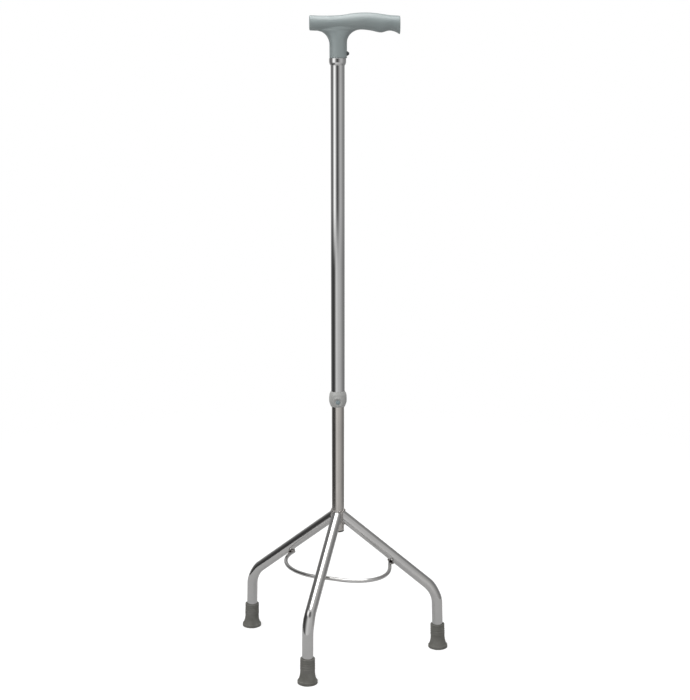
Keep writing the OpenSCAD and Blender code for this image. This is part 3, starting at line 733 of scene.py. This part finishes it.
def buildTips(sizes):
    # profile: tread rings under the foot, rounded flange, concave slope, sleeve with a lip, and the leg's socket
    socket, sleeve = legSizes["radius"] + 0.02, sizes["topRadius"] + sizes["draft"]
    flange, sink, top = sizes["flangeRadius"], -sizes["sink"], sizes["height"]
    tread = sizes["treadDepth"]
    sole = [(0, sink), (3.2, sink), (3.7, tread), (5.2, tread), (5.7, sink), (8, sink), (8.5, tread), (10, tread), (10.5, sink)]
    slope = [(sleeve + (flange - 1.2 - sleeve) * (1 - t) ** sizes["slopePower"], sizes["flangeHeight"] + (sizes["slopeZ"] - sizes["flangeHeight"]) * t)
             for t in np.linspace(0, 1, 15)]
    sleeveZ = np.linspace(sizes["slopeZ"] + 0.8, top - sizes["rimHeight"] - 0.8, 42)
    ribs = sizes["ribs"] * np.sin((sleeveZ - sleeveZ[0]) * math.pi / sizes["ribPitch"]) ** 2
    sleeveR = sleeve - sizes["draft"] * (sleeveZ - sizes["slopeZ"]) / (top - sizes["slopeZ"]) + ribs
    lipRadius = sizes["topRadius"] + sizes["rimRise"]
    rim = [(sizes["topRadius"], top - sizes["rimHeight"] - 0.3), (lipRadius, top - sizes["rimHeight"]), (lipRadius, top),
           (socket, top), (socket, sizes["floor"]), (0, sizes["floor"])]
    foot = [(flange - 0.6, sink), (flange, sink + 1), (flange, sizes["flangeHeight"])]
    outline = np.vstack([sole, foot, slope, np.stack([sleeveR, sleeveZ], -1), rim])
    radii = [0, 0.2, 0.2, 0.2, 0.2, 0.2, 0.2, 0.2, 0.2, 0.4, 0.6, 1.4] + [0] * (len(slope) + len(sleeveZ)) + [0.2, 0.7, 0.9, 0.4, 0, 0]
    part = revolve(roundedProfile(outline, radii, 5), 96, closed=False)
    part = placed(placed(part, turn("Y", -legSizes["lean"])), offset=(footRadius, 0, 0))
    part = (np.concatenate([part[0][:, :2], np.maximum(part[0][:, 2:], 0)], 1), part[1])
    for side, (degrees, _) in feet.items():
        tip = putMesh("tip" + side.capitalize(), [placed(part, turn("Z", degrees))], 50)
        finishPiece(tip, "tip_rubber", "tip_" + side)


buildTips(tipSizes)
washers = frame["nodes"]["tip_washers"]
washers.data.materials.clear()
washers.data.materials.append(finishes["bright_steel"])
print("pieces done")

# ---------- stage, light and camera ----------

stageSizes = {
    "floor": 6.0, "floorColour": 0.46, "floorSeen": 0.62, "floorMirrored": 0.03, "fadeFrom": 0.6, "fadeTo": 1.6,
    "wallRadius": 0.66, "wallTop": 1.9, "wallLight": 1.6, "worldLight": 0.5, "topLamp": 50, "fillLamp": 12,
}


def emissionMaterial(name):
    material = bpy.data.materials.new(name)
    material.use_nodes = True
    nodes = material.node_tree.nodes
    nodes.clear()
    return material, nodes, material.node_tree.links, nodes.new("ShaderNodeOutputMaterial")


def buildFloor(sizes):
    # diffuse, with a glow of its own where it is looked at and a fainter one where it is mirrored; it thins out with
    # the distance from the column until only the white world is left
    half = sizes["floor"] / 2 / mm
    corners = np.array([[-half, -half, 0], [half, -half, 0], [half, half, 0], [-half, half, 0]])
    floor = putMesh("floor", [(corners, np.array([[0, 1, 2, 3]]))])
    material, nodes, links, output = emissionMaterial("paleFloor")
    diffuse, glow, add, clear, fade, rays, place = (nodes.new("ShaderNode" + kind) for kind in (
        "BsdfDiffuse", "Emission", "AddShader", "BsdfTransparent", "MixShader", "LightPath", "TexCoord"))
    diffuse.inputs["Color"].default_value = (sizes["floorColour"],) * 3 + (1,)
    strength = nodes.new("ShaderNodeMapRange")
    strength.inputs["To Min"].default_value = sizes["floorMirrored"]
    strength.inputs["To Max"].default_value = sizes["floorSeen"]
    links.new(rays.outputs["Is Camera Ray"], strength.inputs["Value"])
    links.new(strength.outputs["Result"], glow.inputs["Strength"])
    links.new(diffuse.outputs[0], add.inputs[0])
    links.new(glow.outputs[0], add.inputs[1])
    away = nodes.new("ShaderNodeVectorMath")
    away.operation = "LENGTH"
    links.new(place.outputs["Object"], away.inputs[0])
    share = nodes.new("ShaderNodeMapRange")
    share.interpolation_type = "SMOOTHSTEP"
    share.inputs["From Min"].default_value = sizes["fadeFrom"]
    share.inputs["From Max"].default_value = sizes["fadeTo"]
    links.new(away.outputs["Value"], share.inputs["Value"])
    links.new(share.outputs["Result"], fade.inputs["Fac"])
    links.new(add.outputs[0], fade.inputs[1])
    links.new(clear.outputs[0], fade.inputs[2])
    links.new(fade.outputs[0], output.inputs["Surface"])
    floor.data.materials.append(material)


wallStops = {
    # azimuth in degrees, 0 towards the camera's side, and brightness there; one row for each height of the wall
    "high": [(-180, 0.25), (-140, 0.2), (-100, 0.22), (-60, 0.38), (-25, 0.5), (-8, 0.3), (8, 0.5), (30, 0.75),
             (48, 0.25), (62, 0.7), (85, 0.5), (105, 0.2), (130, 0.35), (180, 0.25)],
    "level": [(-180, 0.3), (-150, 0.35), (-124, 0.17), (-95, 0.1), (-82, 0.2), (-68, 0.6), (-56, 0.95), (-44, 0.9),
              (-34, 0.55), (-20, 0.17), (-3, 0.05), (8, 0.09), (18, 0.22), (32, 0.34), (50, 0.42), (69, 0.33),
              (90, 0.22), (118, 0.2), (180, 0.25)],
    "low": [(-180, 0.3), (-150, 0.3), (-124, 0.12), (-95, 0.035), (-73, 0.04), (-52, 0.08), (-36, 0.38), (-24, 0.56),
            (-10, 0.5), (10, 0.42), (32, 0.4), (50, 0.33), (69, 0.26), (90, 0.18), (118, 0.16), (180, 0.25)],
}


def buildWall(sizes, rows):
    # a round studio wall that only mirrors see: its brightness goes round with the azimuth and changes with height
    angle = np.arange(96) * fullTurn / 96
    radius = sizes["wallRadius"] / mm
    rings = np.stack([np.stack([radius * np.cos(angle), radius * np.sin(angle), 0 * angle + z], -1)
                      for z in (1.0, sizes["wallTop"] / mm)])
    wall = putMesh("studioWall", [gridPart(rings)])
    material, nodes, links, output = emissionMaterial("studioWall")
    place, split, arc, glow = (nodes.new("ShaderNode" + kind) for kind in ("TexCoord", "SeparateXYZ", "Math", "Emission"))
    arc.operation = "ARCTAN2"
    links.new(place.outputs["Object"], split.inputs[0])
    links.new(split.outputs["X"], arc.inputs[0])
    back = nodes.new("ShaderNodeMath")
    back.operation = "MULTIPLY"
    back.inputs[1].default_value = -1
    links.new(split.outputs["Y"], back.inputs[0])
    links.new(back.outputs[0], arc.inputs[1])
    share = nodes.new("ShaderNodeMapRange")
    share.inputs["From Min"].default_value = -math.pi
    share.inputs["From Max"].default_value = math.pi
    links.new(arc.outputs[0], share.inputs["Value"])

    def stops(row):
        ramp = nodes.new("ShaderNodeValToRGB")
        while len(ramp.color_ramp.elements) < len(row):
            ramp.color_ramp.elements.new(0.5)
        for element, (degrees, level) in zip(ramp.color_ramp.elements, row):
            element.position = (degrees + 180) / 360
            element.color = (level, level, level, 1)
        links.new(share.outputs["Result"], ramp.inputs["Fac"])
        return ramp.outputs["Color"]

    def blend(lower, upper, start, end):
        rise, mix = nodes.new("ShaderNodeMapRange"), nodes.new("ShaderNodeMix")
        rise.interpolation_type = "SMOOTHSTEP"
        rise.inputs["From Min"].default_value = start
        rise.inputs["From Max"].default_value = end
        mix.data_type = "RGBA"
        links.new(split.outputs["Z"], rise.inputs["Value"])
        links.new(rise.outputs["Result"], mix.inputs["Factor"])
        links.new(lower, mix.inputs["A"])
        links.new(upper, mix.inputs["B"])
        return mix.outputs["Result"]

    low, level, high = (stops(rows[name]) for name in ("low", "level", "high"))
    links.new(blend(blend(low, level, 0.48, 0.62), high, 0.98, 1.15), glow.inputs["Color"])
    glow.inputs["Strength"].default_value = sizes["wallLight"]
    links.new(glow.outputs[0], output.inputs["Surface"])
    wall.data.materials.append(material)
    wall.visible_camera = wall.visible_diffuse = wall.visible_shadow = wall.visible_transmission = False


def buildWorld(sizes):  # white where it is seen or mirrored, softer as light
    world = bpy.data.worlds.new("studio")
    world.use_nodes = True
    nodes, links = world.node_tree.nodes, world.node_tree.links
    background = nodes["Background"]
    background.inputs["Color"].default_value = (1, 1, 1, 1)
    rays = nodes.new("ShaderNodeLightPath")
    seen = [rays.outputs[name] for name in ("Is Camera Ray", "Is Glossy Ray", "Is Transmission Ray")]
    first, second = nodes.new("ShaderNodeMath"), nodes.new("ShaderNodeMath")
    first.operation = second.operation = "MAXIMUM"
    links.new(seen[0], first.inputs[0])
    links.new(seen[1], first.inputs[1])
    links.new(first.outputs[0], second.inputs[0])
    links.new(seen[2], second.inputs[1])
    strength = nodes.new("ShaderNodeMapRange")
    strength.inputs["To Min"].default_value = sizes["worldLight"]
    strength.inputs["To Max"].default_value = 1
    links.new(second.outputs[0], strength.inputs["Value"])
    links.new(strength.outputs["Result"], background.inputs["Strength"])
    bpy.context.scene.world = world


def lamp(name, place, aim, width, power, mirrored=False):
    light = bpy.data.lights.new(name, "AREA")
    light.size = width
    light.energy = power
    holder = bpy.data.objects.new(name, light)
    bpy.context.scene.collection.objects.link(holder)
    holder.location = place
    holder.rotation_euler = (Vector(aim) - Vector(place)).to_track_quat("-Z", "Y").to_euler()
    holder.visible_glossy = mirrored


def buildCamera():
    # stands 2 m in front, a little below the grip, and looks 11 degrees down
    cameraSizes = {"distance": 2.0, "height": 0.8442, "tilt": 79.0, "roll": -0.3, "focalPixels": 1386.65, "longSide": 700}
    data = bpy.data.cameras.new("camera")
    data.sensor_width = 36
    data.lens = cameraSizes["focalPixels"] * data.sensor_width / cameraSizes["longSide"]
    camera = bpy.data.objects.new("camera", data)
    camera.location = (0, -cameraSizes["distance"], cameraSizes["height"])
    camera.rotation_euler = (math.radians(cameraSizes["tilt"]), 0, math.radians(cameraSizes["roll"]))
    bpy.context.scene.collection.objects.link(camera)
    bpy.context.scene.camera = camera


buildFloor(stageSizes)
buildWall(stageSizes, wallStops)
buildWorld(stageSizes)
lamp("topLamp", (-0.3, -0.2, 2.6), (0, 0, 0.5), 2.2, stageSizes["topLamp"], mirrored=True)
lamp("fillLamp", (-1.2, -2.2, 1.6), (0, 0, 0.6), 1.4, stageSizes["fillLamp"])
buildCamera()
bpy.context.scene.view_settings.view_transform = "Standard"
